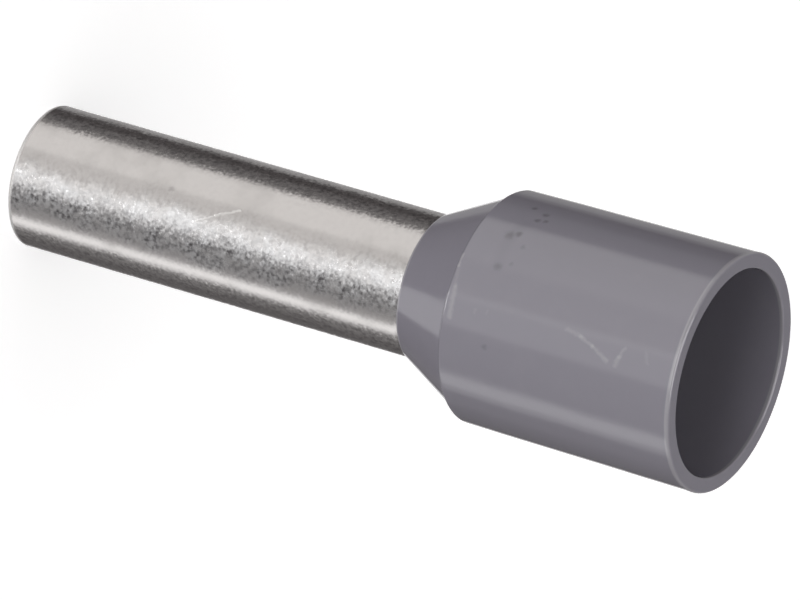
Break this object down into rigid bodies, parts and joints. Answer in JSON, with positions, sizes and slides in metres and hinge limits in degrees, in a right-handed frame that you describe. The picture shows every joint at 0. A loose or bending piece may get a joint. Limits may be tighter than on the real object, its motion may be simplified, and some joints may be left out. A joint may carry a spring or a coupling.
{
  "type": "insulated wire end ferrule",
  "caption": "Wire end ferrule: a tinned copper tube with a belled mouth, held in a moulded grey insulating collar that takes the wire's insulation.",
  "frame": {"origin": "centre of the tube's cut end, on the plane that the ferrule stands on", "axes": "+Z along the ferrule's axis, from the tube's cut end to the collar's mouth, where the wire goes in"},
  "size_m": [0.0052, 0.0052, 0.0173],
  "materials": {
    "tinned_copper": "matte electroplated tin on copper",
    "grey_plastic": "satin moulded polypropylene"
  },
  "bodies": {
    "root": {"metal_tube": "tinned_copper", "insulating_collar": "grey_plastic"}
  },
  "joints": []
}
